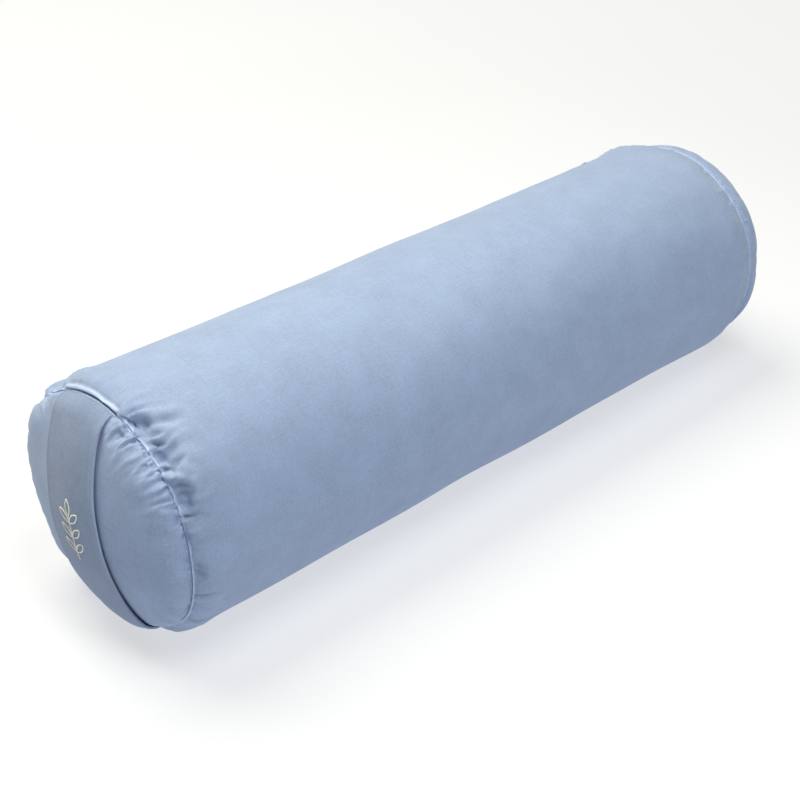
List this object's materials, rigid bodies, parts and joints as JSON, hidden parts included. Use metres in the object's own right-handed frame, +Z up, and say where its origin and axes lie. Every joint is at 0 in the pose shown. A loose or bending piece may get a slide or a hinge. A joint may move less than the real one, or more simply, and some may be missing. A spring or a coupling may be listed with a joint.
{
  "type": "round bolster pillow",
  "caption": "Firm round bolster for yoga, massage and spa use: a stuffed liner in a zipped cotton cover with domed ends, gathered seams and a carrying strap across one end.",
  "frame": {"origin": "middle of the flat underside, on the floor, halfway between the two end seams", "axes": "+X along the bolster, away from the end with the strap; +Z up; the zip is on the +Y side"},
  "size_m": [0.7238, 0.2099, 0.2036],
  "materials": {
    "cover_cloth": "matte plain-weave cotton",
    "cover_thread": "matte sewing thread",
    "strap_cloth": "matte plain-weave cotton, folded double",
    "sprig_thread": "satin embroidery thread",
    "zip_tape": "matte woven tape",
    "zip_coil": "satin",
    "zip_metal": "nickel",
    "label_satin": "satin ribbon, blank",
    "liner_cloth": "unbleached plain-weave cotton",
    "liner_thread": "cotton thread",
    "kapok": "loose fibre"
  },
  "bodies": {
    "bolster": {"cover_wrap": "cover_cloth", "cover_end_near": "cover_cloth", "cover_end_far": "cover_cloth", "near_seam_thread": "cover_thread", "far_seam_thread": "cover_thread", "closing_seam_thread": "cover_thread", "zip_tape_upper": "zip_tape", "zip_tape_lower": "zip_tape", "zip_coil_upper": "zip_coil", "zip_coil_lower": "zip_coil", "zip_top_stops": "zip_metal", "zip_bottom_stop": "zip_metal", "zip_topstitch": "cover_thread", "care_label": "label_satin", "liner_wrap": "liner_cloth", "liner_end_near": "liner_cloth", "liner_end_far": "liner_cloth", "liner_closing_stitch": "liner_thread", "kapok_fill": "kapok"},
    "handle": {"handle_strap": "strap_cloth", "handle_embroidery": "sprig_thread"},
    "slider": {"zip_slider": "zip_metal"},
    "pull_tab": {"zip_pull_tab": "zip_metal"}
  },
  "joints": [
    {"name": "zip_slide", "type": "slide", "parent": "bolster", "child": "slider", "axis": [-1, 0, 0], "range_m": [0, 0.539]},
    {"name": "pull_tab_hinge", "type": "hinge", "parent": "slider", "child": "pull_tab", "pos_m": [0.268, 0.06736, 0.17888], "axis": [0, 0.766, -0.6428], "range_deg": [0, 170]},
    {"name": "handle_lift", "type": "slide", "parent": "bolster", "child": "handle", "axis": [-1, 0, 0], "range_m": [0, 0.025]}
  ]
}
